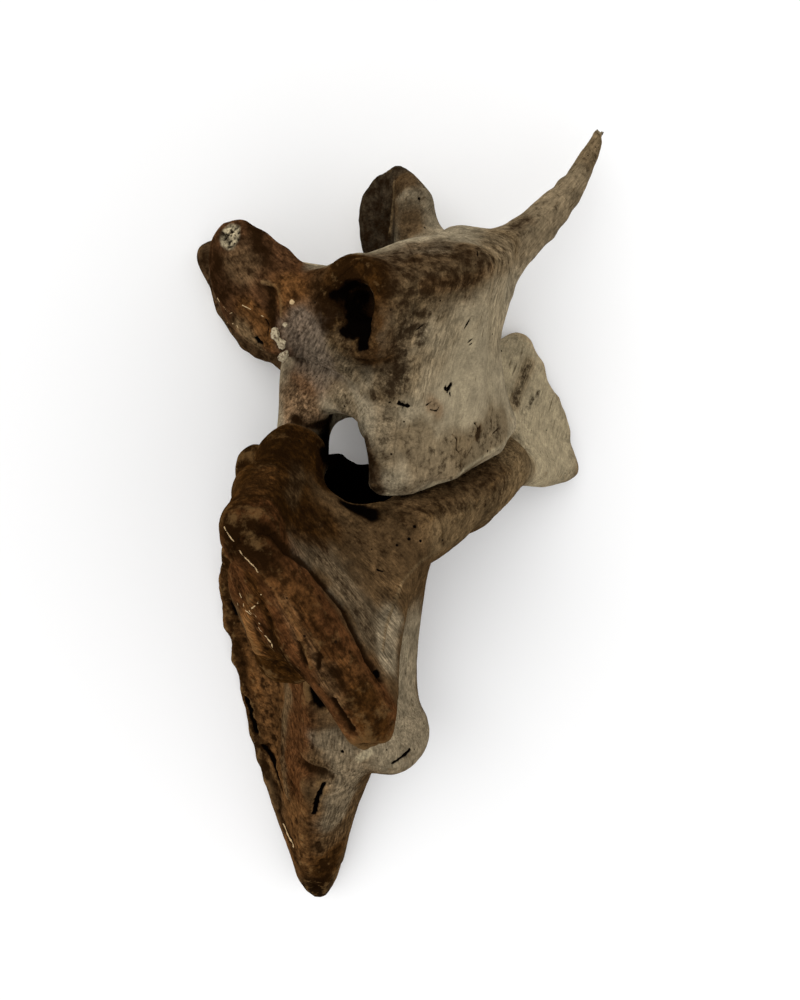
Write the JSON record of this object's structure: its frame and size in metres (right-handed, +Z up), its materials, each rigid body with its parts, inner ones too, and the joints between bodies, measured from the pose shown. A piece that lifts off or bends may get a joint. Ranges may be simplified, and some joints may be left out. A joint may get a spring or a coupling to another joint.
{
  "type": "deer lumbar vertebra on sacrum",
  "caption": "Last lumbar vertebra of a deer dried fast to the sacrum, a life-size bone pair lying as it rests on a floor.",
  "frame": {"origin": "centre of the bounding box on the floor the bones lie on", "axes": "+Z up from the floor, +Y along the pair towards the lumbar vertebra, +X to the side that carries the free transverse process"},
  "size_m": [0.0664, 0.1402, 0.0704],
  "materials": {
    "pale_bone": "dry weathered bone, matt",
    "brown_bone": "dry earth-stained bone, matt with a faint sheen"
  },
  "bodies": {
    "root": {"vertebral_arch": "brown_bone", "lumbar_body": "pale_bone", "spinous_process": "brown_bone", "left_transverse_process": "pale_bone", "right_cranial_process": "brown_bone", "left_cranial_process": "brown_bone", "sacral_crest": "brown_bone", "right_sacral_wing": "brown_bone", "left_sacral_wing": "pale_bone", "sacral_segment_1": "brown_bone", "sacral_segment_2": "pale_bone", "sacral_segment_3": "brown_bone", "sacral_segment_4": "brown_bone"}
  },
  "joints": []
}
